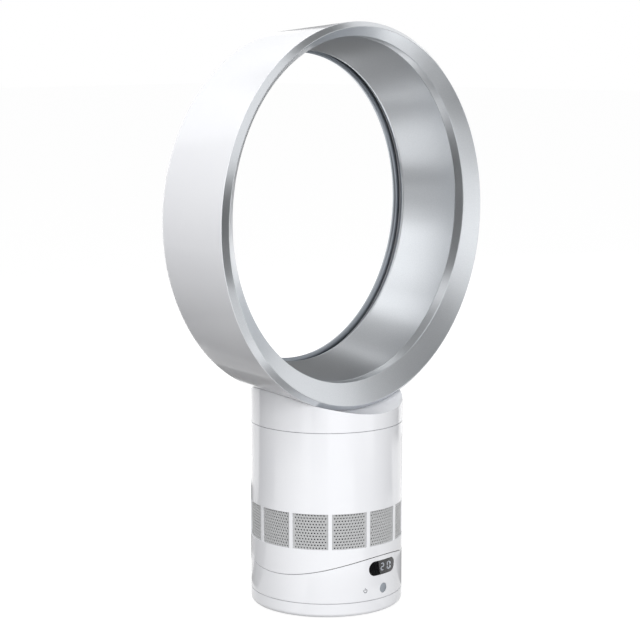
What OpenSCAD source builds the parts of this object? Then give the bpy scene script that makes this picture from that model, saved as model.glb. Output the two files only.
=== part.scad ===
// Bladeless table fan: a foot, a turning control housing, a body that tilts on it with
// the air mover inside, and a loop nozzle on top. Millimetres, front faces -Y, Z is up.

/* [Body] */
// Radius of the foot, the control housing and the body
body_r = 72.5; // [66:0.5:80]
// Wall of the moulded housings
wall = 2.5; // [1.8:0.1:3]

/* [Foot] */
// Height of the foot shell above the table
foot_lift = 1.2; // [0.8:0.1:1.5]
// Radius of the foot's bottom edge
foot_edge = 4; // [1:0.5:5]
// How far the rubber ring's middle lies inside the foot's edge
pad_in = 10.5; // [8.5:0.5:12.5]
// Width of the rubber ring
pad_w = 5; // [3:0.5:6]
// Thickness of the rubber ring
pad_h = 2.4; // [2:0.1:3]
// Thickness of the base plate and of the turntable plate
plate_t = 2.5; // [2:0.1:2.8]

/* [Oscillation] */
// Pitch diameter of the gears for each tooth
tooth_size = 1; // [0.9:0.05:1.05]
// Teeth of the fixed gear
sun_teeth = 48; // [44:2:50]
// Teeth of the pinion
pinion_teeth = 12; // [11:1:14]
// Thickness of the two gears
gear_t = 3; // [2.4:0.1:3.2]
// Outer radius of the hollow spindle
spindle_r = 11; // [10:0.5:11.5]
// Bore radius of the hollow spindle
spindle_bore = 8; // [6:0.5:9]
// Height of the oscillation motor
osc_motor_h = 14; // [11:0.5:17]
// Free height between the oscillation motor and the tilt cradle
motor_head = 5.3; // [4:0.1:8]

/* [Tilt] */
// Radius of the curved tilt seam
tilt_r = 173; // [160:1:200]
// Thickness of the two curved tilt plates
cradle_t = 2.5; // [2:0.1:3]
// Largest angle of tilt each way
tilt_swing = 10; // [5:1:10]
// How far each tilt rail's middle lies inside the body's side
rail_in = 42.5; // [38:0.5:46]
// Width of a tilt rail
rail_w = 7.4; // [6:0.2:8]
// Half the angle that a tilt rail spans
rail_turn = 2.2; // [2:0.1:2.6]
// Width of the keeper plate under a rail
keeper_w = 15; // [13:0.5:16]
// Thickness of a keeper plate
keeper_t = 2; // [1.5:0.1:2.2]

/* [Controls] */
// Width of the display window
window_w = 36; // [30:1:40]
// Height of the display window
window_h = 14; // [12:0.5:14.5]
// How far the window's middle lies below the front end of the tilt seam
window_drop = 11.6; // [10.6:0.1:14]
// Diameter of the power button
button_d = 9; // [7:0.5:11]
// Gap between the power button's rim and the turntable plate under it
button_floor = 0.4; // [0.3:0.1:2]
// Travel of the power button
button_travel = 0.8; // [0.4:0.1:1]

/* [Grille] */
// How far the grille's lower edge lies above the front end of the tilt seam
grille_up = 10.3; // [8:0.1:14]
// Height of the grille band
grille_h = 33.8; // [26:0.2:34]
// Number of grille panels round the body
panels = 12; // [8:1:16]
// Width of the white rib between two panels
rib_w = 3.6; // [2:0.2:6]
// Thickness of the grille sheet
grille_t = 1.2; // [0.8:0.1:1.4]
// Rows of slots in the grille
grille_rows = 8; // [4:1:9]
// Slots side by side in one panel
grille_columns = 3; // [2:1:4]
// Width of the bars between slots
grille_bar = 1.4; // [1:0.1:2]

/* [Air mover] */
// Radius of the inlet throat
throat_in = 41; // [36:0.5:43]
// How far the air duct lies inside the body's wall
duct_in = 7.2; // [6.2:0.2:10]
// Wall of the duct parts
duct_wall = 2.2; // [1.6:0.1:2.4]
// Height of the impeller blades
blade_h = 25; // [22:0.5:26]
// Number of impeller blades
blades = 9; // [7:1:13]
// Thickness of an impeller blade, measured round the hub
blade_t = 2.6; // [2:0.1:3]
// Angle that a blade turns through from inlet to outlet
blade_sweep = 62; // [30:1:80]
// Number of vanes behind the impeller
vanes = 11; // [7:1:13]
// Radius of the motor bucket
bucket_r = 38.5; // [36:0.5:40]
// Height of the motor bucket
bucket_h = 20.4; // [18:0.2:26]
// Radius of the motor shaft
shaft_r = 3; // [2.5:0.1:3.5]

/* [Loop] */
// Height of the collar under the loop at the middle
neck_h = 15; // [12:0.5:24]
// Largest outer radius of the loop
loop_r = 180.25; // [172:0.25:190]
// How much the loop's outer radius shrinks towards its rear
rear_taper = 7.75; // [5:0.25:10]
// Depth of the loop from its nose to its rear face
loop_depth = 93; // [90:1:96]
// Distance from the body's axis to the loop's nose
loop_nose = 46.5; // [44:0.5:48]
// Wall of the loop's shells
loop_wall = 2.2; // [1.8:0.1:2.6]
// Width of the polished strip round the front edge
trim_w = 5.5; // [4:0.5:8]
// How far the front lip reaches inside the loop's outer radius
lip_in = 19.25; // [17:0.05:22]
// How far the opening's centre lies above the loop's
bore_rise = 6; // [0:0.1:7]
// Depth of the flared front lip
lip_depth = 10.5; // [9:0.5:13]
// Depth of the straight step behind the lip
step_depth = 10; // [6:0.5:12]
// Thickness of the loop at its narrowest opening, in front of the air slot
throat_depth = 32.65; // [30:0.05:36]
// How far the rear rim reaches inside that opening
rim_in = 1.6; // [0.8:0.1:2.4]
// Radius of the curl that leads the air out of the slot
curl_r = 9; // [7:0.5:9.5]
// Width of the air slot
slot_w = 1.3; // [1:0.1:1.5]

/* [Hidden] */
$fn = 96;

// Clearances and small sizes that several pieces share
over = 1;
seam = 0.6;
slip = 0.3;
run_gap = 0.05;
seat_gap = 0.15;
screw_r = 1.5;
screw_head_r = 3;
screw_head_h = 1.8;
hole_slack = 0.2;
turn_gap = 0.5;
inner_r = body_r - wall;
plug_r = inner_r - slip;

// Levels of the foot, which is as tall as the cord gland needs
gland_lip_r = 3.7;
gland_gap = 0.35;
base_low = foot_lift + wall;
base_top = base_low + plate_t;
foot_top = base_top + 2 * (gland_lip_r + gland_gap);
housing_low = foot_top + seam;
turn_low = housing_low + turn_gap;
turn_top = turn_low + plate_t;

// Tilt surfaces, all round one axis above the body; the seam is lowest over the oscillation motor
seam_low = turn_top + osc_motor_h + motor_head + cradle_t + seam / 2;
tilt_z = seam_low + tilt_r;
tilt_under = tilt_r + seam / 2;
tilt_over = tilt_r - seam / 2;
cradle_r = tilt_under + cradle_t;
keeper_r = cradle_r + slip;
seam_front = tilt_z - sqrt(tilt_r * tilt_r - body_r * body_r);
rail_x = body_r - rail_in;

// Places of the controls and the grille
button_lip = 1.2;
button_z = turn_top + button_floor + button_lip + button_d / 2;
window_z = seam_front - window_drop;
grille_low = seam_front + grille_up;

// Shared helpers

module tube(ro, ri, z0, z1) {
    difference() {
        translate([0, 0, z0]) cylinder(r = ro, h = z1 - z0);
        translate([0, 0, z0 - over]) cylinder(r = ri, h = z1 - z0 + 2 * over);
    }
}

module post(x, y, r, z0, z1) {
    translate([x, y, z0]) cylinder(r = r, h = z1 - z0);
}

// A cylinder along X, round the tilt axis
module tilt_drum(r) {
    translate([0, 0, tilt_z]) rotate([0, 90, 0])
        cylinder(r = r, h = 4 * body_r, center = true, $fn = 180);
}

// A block bent round the tilt axis, hanging below it
module tilt_block(r0, r1, x, w, half) {
    translate([0, 0, tilt_z]) rotate([0, 90, 0]) rotate([0, 0, -half])
        rotate_extrude(angle = 2 * half) translate([r0, x - w / 2]) square([r1 - r0, w]);
}

// A cylinder along Y from y0 to y1
module rod_y(x, z, r, y0, y1) {
    translate([x, y0, z]) rotate([-90, 0, 0]) cylinder(r = r, h = y1 - y0);
}

// An upright pill shape in the XZ plane, cut through from y0 to y1
module pill_y(w, h, z, y0, y1) {
    translate([0, y1, z]) rotate([90, 0, 0]) linear_extrude(y1 - y0) pill(w, h);
}

module pill(w, h) {
    square([w - h, h], center = true);
    for (s = [-1, 1]) translate([s * (w - h) / 2, 0]) circle(d = h);
}

function arc(cx, cy, r, a0, a1, steps) =
    [for (i = [0:steps]) let (a = a0 + (a1 - a0) * i / steps) [cx + r * cos(a), cy + r * sin(a)]];

// Gears with straight-flanked teeth
pressure = 20;
backlash = 0.4;
addendum = 0.8 * tooth_size;
dedendum = 1.1 * tooth_size;
gear_gap = (sun_teeth + pinion_teeth) * tooth_size / 2;

function polar(r, a) = [r * cos(a), r * sin(a)];

function tooth(n, i) = let (
    rp = n * tooth_size / 2,
    mid = 360 * i / n,
    half = 90 / n - backlash / 2 / rp * 180 / PI,
    wide = half + atan(dedendum * tan(pressure) / rp),
    thin = half - atan(addendum * tan(pressure) / rp)
) [
    polar(rp - dedendum, mid - wide), polar(rp, mid - half), polar(rp + addendum, mid - thin),
    polar(rp + addendum, mid + thin), polar(rp, mid + half), polar(rp - dedendum, mid + wide),
];

module gear(n, z0, z1) {
    translate([0, 0, z0]) linear_extrude(z1 - z0)
        polygon([for (i = [0:n - 1]) each tooth(n, i)]);
}

// Foot: it stands on the table and holds still

foot_flange = 22;
foot_screw_in = 19.5;
foot_screw_ring = body_r - foot_screw_in;
foot_screw_up = 5.5;
boss_r = 4;
foot_boss_h = 4;
foot_head_h = 1.1;
gland_r = 3;
gland_bore = 2.2;
gland_lip_t = 2;
gland_z = (base_top + foot_top) / 2;
edge_steps = 6;
pad_r = body_r - pad_in;
pad_sink = pad_h - foot_lift;
flange_r = body_r - foot_flange;

module foot_places() {
    for (a = [45:90:315]) rotate([0, 0, a]) translate([foot_screw_ring, 0, 0]) children();
}

module foot_shell() {
    color("white") difference() {
        rotate_extrude() polygon(concat(
            [[flange_r, foot_lift]],
            arc(body_r - foot_edge, foot_lift + foot_edge, foot_edge, -90, 0, edge_steps),
            [[body_r, foot_top], [inner_r, foot_top], [inner_r, base_low], [flange_r, base_low]]
        ));
        tube(pad_r + pad_w / 2, pad_r - pad_w / 2, foot_lift - over, foot_lift + pad_sink);
        rod_y(0, gland_z, gland_r + run_gap, inner_r - over, body_r + over);
        foot_places() {
            post(0, 0, screw_r + hole_slack, 0, base_low + over);
            post(0, 0, screw_head_r + hole_slack, 0, foot_lift + foot_head_h);
        }
    }
}

module foot_pad() {
    color("dimgray") tube(pad_r + pad_w / 2, pad_r - pad_w / 2, 0, pad_h);
}

module base_plate() {
    color("gray") difference() {
        union() {
            post(0, 0, plug_r, base_low, base_top);
            foot_places() post(0, 0, boss_r, base_low, base_top + foot_boss_h);
        }
        foot_places() post(0, 0, screw_r + run_gap, foot_lift, base_top + foot_screw_up - over);
        spindle_places() post(0, 0, screw_r + run_gap, foot_lift, base_top + over);
    }
}

module foot_screws() {
    color("silver") foot_places() {
        post(0, 0, screw_head_r, foot_lift, foot_lift + foot_head_h);
        post(0, 0, screw_r, foot_lift, base_low + foot_screw_up);
    }
}

glide_t = 3;
glide_out = inner_r - glide_t / 6;
gland_notch = 2 * (gland_lip_r + over);

module glide_ring() {
    color("ivory") difference() {
        tube(glide_out, glide_out - glide_t, base_top, turn_low - slip);
        translate([-gland_notch / 2, 0, base_top - over])
            cube([gland_notch, body_r, turn_low - base_top + over]);
    }
}

module cord_gland() {
    color("dimgray") difference() {
        union() {
            rod_y(0, gland_z, gland_r, inner_r - gland_lip_t, body_r - slip);
            rod_y(0, gland_z, gland_lip_r, inner_r - gland_lip_t - slip, inner_r - slip);
        }
        rod_y(0, gland_z, gland_bore, inner_r - gland_lip_t - over, body_r + over);
    }
}

clamp_w = 14;
clamp_d = 8;
clamp_in = 18;
clamp_y = inner_r - clamp_in;

module cord_clamp() {
    color("dimgray") difference() {
        translate([-clamp_w / 2, clamp_y - clamp_d / 2, base_top])
            cube([clamp_w, clamp_d, gland_z + gland_bore + wall / 2 - base_top]);
        rod_y(0, gland_z, gland_bore, clamp_y - clamp_d, clamp_y + clamp_d);
    }
}

spindle_flange_r = 20;
spindle_flange_t = 4;
spindle_end = 2;
clip_t = 1.2;
clip_groove = 0.8;
clip_r = 16;
clip_slit = 4;
bush_t = 2;
hub_t = 3.5;
hub_r = spindle_r + bush_t + hub_t;
hub_up = 4;
hub_top = turn_top + hub_up;
bush_lip_t = 1.5;
bush_top = hub_top + bush_lip_t;
clip_low = bush_top + slip;
spindle_top = clip_low + clip_t + spindle_end;
lead_slot = 5;
gear_low = base_top + spindle_flange_t;
spindle_screw_ring = 16;

module spindle_places() {
    for (a = [30:120:270]) rotate([0, 0, a]) translate([spindle_screw_ring, 0, 0]) children();
}

module spindle() {
    color("gainsboro") difference() {
        union() {
            post(0, 0, spindle_flange_r, base_top, gear_low);
            post(0, 0, spindle_r, base_top, spindle_top);
        }
        post(0, 0, spindle_bore, base_top - over, spindle_top + over);
        tube(spindle_r + over, spindle_r - clip_groove, clip_low, clip_low + clip_t);
        translate([-lead_slot / 2, 0, base_top - over])
            cube([lead_slot, spindle_flange_r + over, spindle_flange_t + over]);
        spindle_places() post(0, 0, screw_r + run_gap, base_top - over, gear_low + over);
    }
}

module fixed_gear() {
    color("ivory") difference() {
        rotate([0, 0, 90]) gear(sun_teeth, gear_low, gear_low + gear_t);
        post(0, 0, spindle_r + run_gap, gear_low - over, gear_low + gear_t + over);
        spindle_places() post(0, 0, screw_r + run_gap, gear_low - over, gear_low + gear_t + over);
    }
}

spindle_head_h = 1;
spindle_head_r = 2.6;

module spindle_screws() {
    color("silver") spindle_places() {
        post(0, 0, screw_r, base_low, gear_low + gear_t);
        post(0, 0, spindle_head_r, gear_low + gear_t, gear_low + gear_t + spindle_head_h);
    }
}

module retaining_ring() {
    color("silver") difference() {
        tube(clip_r, spindle_r - clip_groove + run_gap, clip_low, clip_low + clip_t);
        translate([0, -clip_slit / 2, clip_low - over]) cube([clip_r + over, clip_slit, clip_t + 2 * over]);
    }
}

// Control housing: it turns on the foot and carries the controls and the tilt cradle

lug_in = 11.5;
lug_ring = body_r - lug_in;
lug_r = 5;
lug_t = 2.5;
lug_top = turn_top + lug_t;
cradle_boss_r = 3.8;
plate_screw_up = 12;
pinion_y = gear_gap;
shaft_in = 12;
osc_motor_r = (inner_r - pinion_y) / 2;
can_y = pinion_y + osc_motor_r - shaft_in;
shaft_hole = 5;
pinion_shaft_r = 2;
pinion_shaft_up = 6;
ear_w = 6;
ear_t = 1.5;
ear_out = 3;
ear_x = osc_motor_r + ear_out;
ear_screw_r = 1.2;
ear_head_r = 2.2;
ear_head_h = 1.2;
wire_w = 10;
board_t = 1.6;
board_w = 44;
board_in = 8.5;
board_back = body_r - board_in;
board_over = 2.7;
board_top = window_z + board_over;
rail_post = 3;
rail_lip = 1.4;
rail_post_h = 8;
main_w = 56;
main_d = 26;
main_y = -(hub_r + board_back) / 2;
stand_r = 2.5;
stand_h = 3.5;

module lug_places() {
    for (a = [45:90:315]) rotate([0, 0, a]) translate([lug_ring, 0, 0]) children();
}

module control_housing() {
    color("white") difference() {
        union() {
            tube(body_r, inner_r, housing_low, tilt_z - tilt_r / 2);
            lug_places() {
                post(0, 0, lug_r, turn_top, lug_top);
                translate([0, -lug_r, turn_top]) cube([inner_r + wall / 2 - lug_ring, 2 * lug_r, lug_t]);
            }
        }
        tilt_drum(tilt_under);
        pill_y(window_w, window_h, window_z, -body_r - over, -inner_r + 2 * wall);
        rod_y(0, button_z, button_d / 2 + slip, -body_r - over, -inner_r + wall);
        lug_places() post(0, 0, screw_r + hole_slack, turn_top - over, lug_top + over);
    }
}

module turntable_plate() {
    color("gray") difference() {
        union() {
            post(0, 0, plug_r, turn_low, turn_top);
            post(0, 0, hub_r, turn_low, hub_top);
            for (s = [-1, 1]) {
                translate([s * board_w / 2 - rail_post / 2, -board_back - rail_lip, turn_low + plate_t / 2])
                    cube([rail_post, board_t + 2 * rail_lip, plate_t / 2 + rail_post_h]);
                for (t = [-1, 1])
                    post(s * (main_w / 2 - stand_r), main_y + t * (main_d / 2 - stand_r),
                         stand_r, turn_low, turn_top + stand_h);
            }
        }
        post(0, 0, spindle_r + bush_t + run_gap, turn_low - over, hub_top + over);
        post(0, pinion_y, shaft_hole, turn_low - over, turn_top + over);
        translate([-board_w / 2 - slip / 2, -board_back, turn_top])
            cube([board_w + slip, board_t, board_top]);
        lug_places() post(0, 0, screw_r + hole_slack, turn_low - over, turn_top + over);
        for (s = [-1, 1]) post(s * ear_x, can_y, ear_screw_r + run_gap, turn_low - over, turn_top + over);
    }
}

module hub_bush() {
    color("peru") {
        tube(spindle_r + bush_t, spindle_r + run_gap, turn_low, bush_top);
        tube(hub_r, spindle_r + run_gap, hub_top, bush_top);
    }
}

slot_play = 0.5;

module tilt_cradle() {
    slot_half = tilt_swing + rail_turn + slot_play;
    color("whitesmoke") difference() {
        union() {
            intersection() {
                post(0, 0, plug_r, housing_low, tilt_z - tilt_r / 2);
                tilt_drum(cradle_r);
            }
            lug_places() post(0, 0, cradle_boss_r, lug_top, seam_front);
        }
        tilt_drum(tilt_under);
        for (x = [-rail_x, rail_x])
            tilt_block(tilt_r - over, cradle_r + over, x, rail_w + 2 * slip, slot_half);
        tilt_block(tilt_r - over, cradle_r + over, 0, wire_w, slot_half);
        lug_places() post(0, 0, screw_r + run_gap, lug_top - over, lug_top + plate_screw_up);
    }
}

module plate_screws() {
    color("silver") lug_places() {
        post(0, 0, screw_head_r, turn_low - screw_head_h, turn_low);
        post(0, 0, screw_r, turn_low - screw_head_h, lug_top + plate_screw_up - over);
    }
}

window_slack = 0.15;

module display_window() {
    color([0.08, 0.08, 0.09]) intersection() {
        tube(body_r - window_slack, inner_r + slip, housing_low, tilt_z - tilt_r / 2);
        pill_y(window_w - 2 * window_slack, window_h - 2 * window_slack, window_z, -body_r - over, 0);
    }
}

module display_board() {
    color("darkgreen") translate([-board_w / 2, -board_back, turn_top])
        cube([board_w, board_t, board_top - turn_top]);
}

digit_w = 18;
digit_h = 8;
digit_x = 2.5;
digit_t = 5;
digit_cut = 1.2;

module digit_display() {
    color([0.15, 0.15, 0.15])
        translate([digit_x - digit_w / 2, -board_back - digit_t, window_z - digit_h / 2])
            cube([digit_w, digit_t, digit_h - digit_cut]);
}

sensor_x = -12;
sensor_w = 5;
sensor_h = 6;
sensor_t = 2.4;

module infrared_receiver() {
    color([0.1, 0.1, 0.1]) {
        translate([sensor_x - sensor_w / 2, -board_back - sensor_t, window_z - sensor_h / 2 - over])
            cube([sensor_w, sensor_t, sensor_h]);
        rod_y(sensor_x, window_z - over, sensor_w / 3, -board_back - 1.6 * sensor_t, -board_back);
    }
}

switch_w = 6;
switch_t = 2.6;
plunger_r = 1.7;
button_lip_t = 1;
button_dish = 40;
button_play = 0.6;
button_back = inner_r - button_play - button_lip_t;
plunger_gap = 0.3;
plunger_y = button_back - button_travel - plunger_gap;

module button_switch() {
    color([0.2, 0.2, 0.2]) {
        translate([-switch_w / 2, -board_back - switch_t, button_z - switch_w / 2])
            cube([switch_w, switch_t, switch_w]);
        rod_y(0, button_z, plunger_r, -plunger_y, -board_back);
    }
}

module power_button() {
    color("silver") difference() {
        union() {
            rod_y(0, button_z, button_d / 2, -body_r + window_slack, -button_back);
            rod_y(0, button_z, button_d / 2 + button_lip, -button_back - button_lip_t, -button_back);
        }
        translate([0, -body_r - button_dish + seam, button_z]) sphere(r = button_dish);
    }
}

part_low = turn_top + stand_h + board_t;

module control_board() {
    color("darkgreen") {
        translate([-main_w / 2, main_y - main_d / 2, turn_top + stand_h]) cube([main_w, main_d, board_t]);
        translate([-main_w / 4, main_y - main_d / 4, part_low]) cube([main_w / 4, main_d / 3, 2 * board_t]);
        post(main_w / 6, main_y, main_d / 6, part_low, part_low + 3 * board_t);
        translate([main_w / 4, main_y - main_d / 3, part_low]) cube([main_w / 6, main_d / 4, 2 * board_t]);
    }
}

module oscillation_motor() {
    color("silver") difference() {
        union() {
            post(0, can_y, osc_motor_r, turn_top, turn_top + osc_motor_h);
            translate([-ear_x - ear_w / 2, can_y - ear_w / 2, turn_top])
                cube([2 * ear_x + ear_w, ear_w, ear_t]);
        }
        post(0, pinion_y, pinion_shaft_r + run_gap, turn_top - over, turn_top + pinion_shaft_up);
        for (s = [-1, 1])
            post(s * ear_x, can_y, ear_screw_r + run_gap, turn_top - over, turn_top + ear_t + over);
    }
}

module motor_screws() {
    color("silver") for (s = [-1, 1]) {
        post(s * ear_x, can_y, ear_screw_r, turn_low, turn_top + ear_t);
        post(s * ear_x, can_y, ear_head_r, turn_top + ear_t, turn_top + ear_t + ear_head_h);
    }
}

module drive_pinion() {
    color("ivory") translate([0, pinion_y, 0]) {
        rotate([0, 0, 180 / pinion_teeth - 90]) gear(pinion_teeth, gear_low + slip, gear_low + gear_t);
        post(0, 0, pinion_shaft_r, gear_low + slip, turn_top + pinion_shaft_up - over);
    }
}

// Body: it tilts on the cradle and holds the air mover

grille_top = grille_low + grille_h;
recess_skin = 0.9;
recess_r = body_r - recess_skin;
grille_r = recess_r - slip / 2;
grille_lap = 2.6;
ledge_gap = 0.6;
ledge_low = grille_top + grille_lap + ledge_gap;
ledge_t = 2.4;
ledge_w = 6;
ledge_top = ledge_low + ledge_t;
mount_t = 2.6;
shroud_low = ledge_top + mount_t;
flange_t = 2.4;

module rib_boxes(w, count, r0, r1, z0, z1) {
    for (i = [0:count - 1]) rotate([0, 0, -90 + 360 * (i + 0.5) / count])
        translate([r0, -w / 2, z0]) cube([r1 - r0, w, z1 - z0]);
}

module body_shell() {
    color("white") difference() {
        union() {
            intersection() {
                tube(body_r, inner_r, seam_low, body_top - seam / 2);
                tilt_drum(tilt_over);
            }
            tube(inner_r + wall / 2, inner_r - ledge_w, ledge_low, ledge_top);
        }
        tube(recess_r, inner_r - over, grille_low - grille_lap, grille_top + grille_lap);
        difference() {
            tube(body_r + over, inner_r, grille_low, grille_top);
            rib_boxes(rib_w, panels, inner_r - over, body_r + 2 * over,
                      grille_low - over, grille_top + over);
        }
    }
}

module inlet_grille() {
    pitch = grille_h / grille_rows;
    color("darkgray") difference() {
        tube(grille_r, grille_r - grille_t, grille_low - grille_lap, grille_top + grille_lap);
        difference() {
            for (i = [0:grille_rows - 1])
                tube(grille_r + over, grille_r - grille_t - over, grille_low + pitch * i + grille_bar / 2,
                     grille_low + pitch * (i + 1) - grille_bar / 2);
            rib_boxes(rib_w, panels, grille_r - 2 * grille_t - over, body_r, 0, body_top);
            rotate([0, 0, 180 / panels + 180 / panels / grille_columns])
                rib_boxes(grille_bar, panels * grille_columns, grille_r - 2 * grille_t - over, body_r,
                          0, body_top);
        }
    }
}

module tilt_plate() {
    color("whitesmoke") difference() {
        union() {
            intersection() {
                post(0, 0, plug_r, seam_low - wall, tilt_z - tilt_r / 2);
                tilt_drum(tilt_over);
            }
            for (x = [-rail_x, rail_x])
                tilt_block(tilt_over - cradle_t, keeper_r, x, rail_w, rail_turn);
        }
        tilt_drum(tilt_over - cradle_t);
        post(0, 0, wire_w / 2 - over, seam_low - 2 * wall, body_top);
        keeper_places() post(0, 0, screw_r + run_gap, seam_low - 4 * wall, seam_low + 4 * wall);
    }
}

keeper_pitch = 7;
keeper_head_r = 2.4;
keeper_head_h = 1.2;
keeper_low = tilt_z - keeper_r - keeper_t;

module keeper_places() {
    for (x = [-rail_x, rail_x], y = [-keeper_pitch / 2, keeper_pitch / 2]) translate([x, y, 0]) children();
}

module rail_keepers() {
    color("silver") difference() {
        for (x = [-rail_x, rail_x])
            tilt_block(keeper_r, keeper_r + keeper_t, x, keeper_w, rail_turn);
        keeper_places() post(0, 0, screw_r + hole_slack, keeper_low - over, keeper_low + 3 * keeper_t);
    }
}

module keeper_screws() {
    color("silver") keeper_places() {
        post(0, 0, keeper_head_r, keeper_low - keeper_head_h, keeper_low);
        post(0, 0, screw_r, keeper_low - keeper_head_h, seam_low + cradle_t);
    }
}

foam_in = 9;
foam_r = inner_r - foam_in;
foam_drop = 4;
foam_top = grille_low - foam_drop;

module silencer_foam() {
    color("dimgray") intersection() {
        tube(foam_r, wire_w, seam_low, foam_top);
        tilt_drum(tilt_over - cradle_t - seat_gap);
    }
}

module mount_ring() {
    color("dimgray") tube(inner_r - slip, inner_r - ledge_w, ledge_top, shroud_low);
}

bell_r = 10;
bell_wall = 1.8;

module inlet_bellmouth() {
    color("gray") rotate_extrude() polygon(concat(
        arc(throat_in + bell_r, shroud_low - seat_gap, bell_r, 180, 270, edge_steps),
        arc(throat_in + bell_r, shroud_low - seat_gap, bell_r - bell_wall, 270, 180, edge_steps)
    ));
}

throat_h = 6;
cone_over = 2;
hub_rim = 2;
hub_gap = 1.4;
cap_drop = 9;
duct_drop = 4.5;
flange_in = 2;
duct_r = inner_r - duct_in;
cone_low = shroud_low + throat_h;
cone_high = cone_low + blade_h + cone_over;
hub_high = cone_low + blade_h;
bucket_low = hub_high + hub_rim + hub_gap;
bucket_top = bucket_low + bucket_h;
duct_top = bucket_top + cap_drop;
body_top = duct_top + duct_drop;
flange_out = inner_r - flange_in;

module impeller_shroud() {
    color("gray") rotate_extrude() polygon([
        [throat_in, shroud_low], [flange_out, shroud_low], [flange_out, shroud_low + flange_t],
        [throat_in + duct_wall, shroud_low + flange_t], [throat_in + duct_wall, cone_low - duct_wall / 2],
        [duct_r + duct_wall, cone_high - duct_wall / 2], [duct_r + duct_wall, duct_top],
        [duct_r, duct_top], [duct_r, cone_high], [throat_in, cone_low],
    ]);
}

// A curved blade that follows a hub and a casing, built up in flat steps; both of its
// faces are split along the same diagonals, so that they never meet
function blade_section(r0, r1, z, a, t) = let (d0 = asin(t / 2 / r0), d1 = asin(t / 2 / r1)) [
    [r0 * cos(a - d0), r0 * sin(a - d0), z], [r1 * cos(a - d1), r1 * sin(a - d1), z],
    [r1 * cos(a + d1), r1 * sin(a + d1), z], [r0 * cos(a + d0), r0 * sin(a + d0), z],
];

module blade(hub0, hub1, tip0, tip1, z0, z1, sweep, bow, t, steps) {
    points = [for (i = [0:steps]) let (s = i / steps)
        each blade_section(hub0 + (hub1 - hub0) * s, tip0 + (tip1 - tip0) * s, z0 + (z1 - z0) * s,
                           sweep * (s + bow * s * (1 - s)), t)];
    sides = [for (i = [0:steps - 1], j = [0:3]) let (a = 4 * i + j, b = 4 * i + (j + 1) % 4)
        each j == 2 ? [[a, a + 4, b], [b, a + 4, b + 4]] : [[a, a + 4, b + 4], [a, b + 4, b]]];
    last = 4 * steps;
    polyhedron(points, concat([[0, 1, 2], [0, 2, 3]], sides,
                              [[last + 2, last + 1, last], [last + 3, last + 2, last]]));
}

hub_nose = 1.5;
hub_low = cone_low - hub_nose;
hub_in = 13;
hub_inset = 3;
hub_out = bucket_r - hub_inset;
tip_gap = 0.8;
blade_steps = 7;
blade_bow = 0.5;
blade_sink = 1;
casing_rise = (duct_r - throat_in) / (cone_high - cone_low);

module impeller() {
    color("lightgray") difference() {
        union() {
            rotate_extrude() polygon([
                [0, hub_low], [hub_in, hub_low], [hub_out, hub_high], [hub_out, hub_high + hub_rim],
                [0, hub_high + hub_rim],
            ]);
            for (i = [0:blades - 1]) rotate([0, 0, 360 * i / blades])
                blade(hub_in - blade_sink, hub_out - blade_sink, throat_in - tip_gap,
                      throat_in - tip_gap + casing_rise * blade_h, cone_low, hub_high,
                      blade_sweep, blade_bow, blade_t, blade_steps);
        }
        post(0, 0, shaft_r, hub_low - over, hub_high + hub_rim + over);
    }
}

bucket_wall = 2.2;
seat_h = 3;
bearing_r = 8;
seat_wall = 2;
vane_low = bucket_low + over;
vane_sweep = -30;
vane_t = 1.6;
bucket_in = bucket_r - bucket_wall;
core_gap = 0.5;
seat_low = bucket_low + bucket_wall;
core_low = seat_low + seat_h + core_gap;
core_high = bucket_top - seat_h - core_gap;

module vane_bucket() {
    color("gray") difference() {
        union() {
            post(0, 0, bucket_r, bucket_low, bucket_top);
            for (i = [0:vanes - 1]) rotate([0, 0, 360 * i / vanes])
                blade(bucket_r - blade_sink, bucket_r - blade_sink, duct_r - seat_gap, duct_r - seat_gap,
                      vane_low, bucket_top - over, vane_sweep, -blade_bow, vane_t, blade_steps - 2);
        }
        difference() {
            post(0, 0, bucket_in, bucket_low + bucket_wall, bucket_top + over);
            tube(bearing_r + seat_wall, bearing_r, bucket_low, bucket_low + bucket_wall + seat_h);
        }
        post(0, 0, bearing_r - seat_wall, bucket_low - over, bucket_low + bucket_wall + over);
    }
}

cap_wall = 2;
cap_rise = 6;
spigot_h = 2;

module bucket_cap() {
    color("gray") {
        difference() {
            rotate_extrude() polygon(concat(
                [[0, bucket_top], [bucket_r, bucket_top]],
                arc(bucket_r - cap_rise, bucket_top + over, cap_rise, 0, 90, edge_steps),
                [[0, bucket_top + over + cap_rise]]
            ));
            post(0, 0, bucket_r - cap_rise, bucket_top - over, bucket_top + cap_rise - cap_wall);
        }
        tube(bucket_in - slip / 2, bucket_in - bucket_wall, bucket_top - spigot_h, bucket_top + over);
        tube(bearing_r + seat_wall, bearing_r, bucket_top - seat_h, bucket_top + cap_rise - cap_wall);
    }
}

rotor_r = 12;
air_gap = 0.6;
poles = 9;
pole_slot = 4;

module motor_stator() {
    color("slategray") difference() {
        tube(bucket_in - slip / 2, rotor_r + air_gap, core_low, core_high);
        for (i = [0:poles - 1]) rotate([0, 0, 360 * i / poles])
            translate([rotor_r - over, -pole_slot / 4, core_low - over])
                cube([rotor_r, pole_slot / 2, core_high - core_low + 2 * over]);
    }
}

module motor_bearings() {
    color("silver") {
        tube(bearing_r - run_gap, shaft_r + run_gap, seat_low, seat_low + seat_h);
        tube(bearing_r - run_gap, shaft_r + run_gap, bucket_top - seat_h, bucket_top);
    }
}

module motor_shaft() {
    color("silver") post(0, 0, shaft_r, hub_low, bucket_top + over);
}

module motor_rotor() {
    color("dimgray") tube(rotor_r, shaft_r, core_low, core_high);
}

// Loop: a hollow ring that lets the air out of a slot round its inside

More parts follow.
